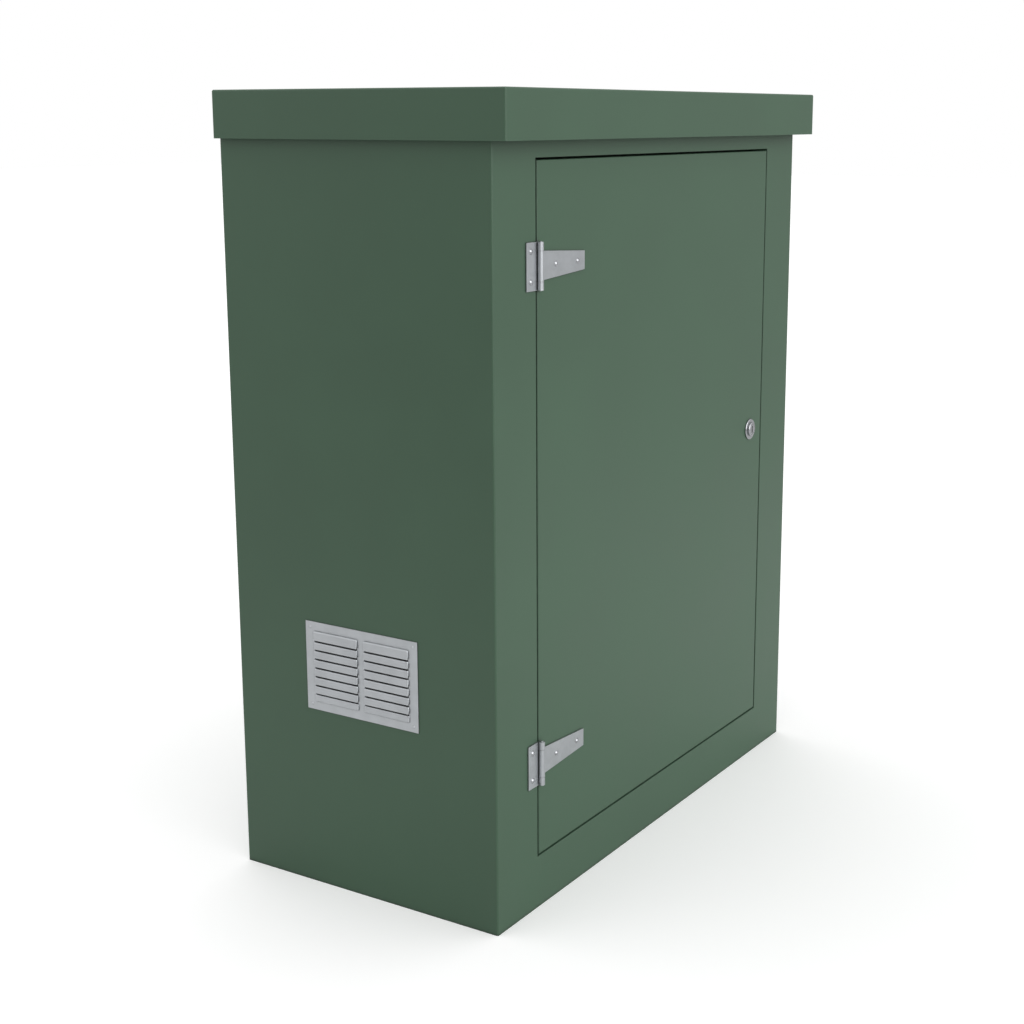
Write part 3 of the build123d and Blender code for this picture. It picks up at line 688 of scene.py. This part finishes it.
# %% Helpers for picking
def pick_faces(piece, wanted):
    edit(piece, select=False)
    bpy.ops.mesh.select_mode(type="FACE")
    done()
    for face in piece.data.polygons:
        face.select = wanted(face.center)
    bpy.ops.object.mode_set(mode="EDIT")


def pick_edges(piece, wanted):
    edit(piece, select=False)
    bpy.ops.mesh.select_mode(type="EDGE")
    done()
    for edge in piece.data.edges:
        first, last = (piece.data.vertices[corner].co for corner in edge.vertices)
        edge.select = wanted((first + last) / 2)
    bpy.ops.object.mode_set(mode="EDIT")


def block(name, low, high):
    low, high = Vector(low), Vector(high)
    bpy.ops.object.select_all(action="DESELECT")
    bpy.ops.mesh.primitive_cube_add(size=1, location=(low + high) / 2)
    piece = bpy.context.object
    piece.name = name
    piece.scale = high - low
    bpy.ops.object.transform_apply(location=True, rotation=True, scale=True)
    return piece


print("helpers for picking ready")

# %% One hood of each kind
tiny = 0.01 * mm
rounding_steps = 6


def press_hood(name, height, rise, open_foot):
    outer = plate_face - rise
    hood = block(name, (outer, -hood_length / 2, -height), (plate_face + hood_root, hood_length / 2, 0))
    pick_faces(hood, lambda middle: middle.x > plate_face or (open_foot and middle.z < tiny - height))
    bpy.ops.mesh.delete(type="FACE")
    pick_edges(hood, lambda middle: middle.x < outer + tiny and middle.z > -tiny)
    bpy.ops.transform.translate(value=(brow_setback, 0, 0))
    bpy.ops.mesh.select_all(action="DESELECT")
    bpy.ops.mesh.select_non_manifold()
    bpy.ops.mesh.select_all(action="INVERT")
    bpy.ops.mesh.bevel(offset=min(hood_rounding, rise - brow_setback - tiny), segments=rounding_steps, affect="EDGES")
    bpy.ops.mesh.select_all(action="SELECT")
    bpy.ops.mesh.normals_make_consistent(inside=False)
    if open_foot:
        notch_top = notch_height - height
        bpy.ops.mesh.bisect(plane_co=(0, 0, notch_top), plane_no=(0, 0, 1))
        pick_faces(hood, lambda middle: middle.z < notch_top and abs(middle.y) > hood_length / 2 - notch_depth)
        bpy.ops.mesh.delete(type="FACE")
    done()
    wall = hood.modifiers.new("wall", "SOLIDIFY")
    wall.thickness = hood_sheet
    wall.offset = -1
    bpy.ops.object.modifier_apply(modifier=wall.name)
    return hood


top_hood = press_hood("top_hood", top_height - slot_height, hood_rise, True)
hood = press_hood("hood", pitch - slot_height, hood_rise, True)
bead = press_hood("bead", bead_height, bead_rise, False)
print("hoods of", [len(piece.data.polygons) for piece in (top_hood, hood, bead)], "faces")

# %% Plate with its slots
plate_rounding = 0.4 * mm
window_strip = 1.2 * mm
rivet_hole = 1.7 * mm
rivet_head = 2.6 * mm
plate = block("left_vent_pressing", (plate_face, vent_low.y, vent_low.z), vent_high)
pick_faces(plate, lambda middle: middle.x < plate_face + tiny)
bpy.ops.mesh.bevel(offset=plate_rounding, segments=2, affect="EDGES")
done()
column_shift = (hood_length + column_gap) / 2
cutters = []
for column in (-1, 1):
    for head, next_head in zip(heads, heads[1:]):
        middle = column * column_shift
        cutters.append(block("slot_cutter", (plate_face - plate_thickness, middle - slot_length / 2, next_head),
                             (vent_high.x + plate_thickness, middle + slot_length / 2, head - window_strip)))
rivet_low, rivet_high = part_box("left_vent_rivets")
rivet_reach = (rivet_high - rivet_low) / 2 - Vector((0, rivet_head, rivet_head))
for y_side in (-1, 1):
    for z_side in (-1, 1):
        bpy.ops.mesh.primitive_cylinder_add(
            vertices=24, radius=rivet_hole, depth=4 * plate_thickness, rotation=(0, pi / 2, 0),
            location=(plate_face, y_side * rivet_reach.y, vent_middle.z + z_side * rivet_reach.z))
        cutters.append(bpy.context.object)
for cutter in cutters:
    cut = plate.modifiers.new("cut", "BOOLEAN")
    cut.object = cutter
    select_only(plate)
    bpy.ops.object.modifier_apply(modifier=cut.name)
    bpy.data.objects.remove(cutter)
print("plate with", len(cutters), "cuts")

# %% Hoods on the plate
kinds = [top_hood] + [hood] * (open_rows - 1) + [bead]
copies = []
for column in (-1, 1):
    for head, kind in zip(heads, kinds):
        copy = bpy.data.objects.new(kind.name + "_copy", kind.data.copy())
        copy.data.transform(Matrix.Translation((0, column * column_shift, head)))
        bpy.context.scene.collection.objects.link(copy)
        copies.append(copy)
select_only(plate)
for copy in copies:
    copy.select_set(True)
bpy.ops.object.join()
for pattern in (top_hood, hood, bead):
    bpy.data.objects.remove(pattern)
print("left vent", len(plate.data.polygons), "faces")

# %% The vent on the other side
other = bpy.data.objects.new("right_vent_pressing", plate.data.copy())
other.data.transform(Matrix.Rotation(pi, 4, "Z"))
bpy.context.scene.collection.objects.link(other)
for piece, name in ((plate, "left_vent"), (other, "right_vent")):
    smooth_flat_faces(piece)
    piece.data.materials.clear()
    piece.data.materials.append(aluminium)
    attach(piece, nodes[name]["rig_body"])
    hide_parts(name)
print("vents on", [piece.name for piece in (plate, other)])
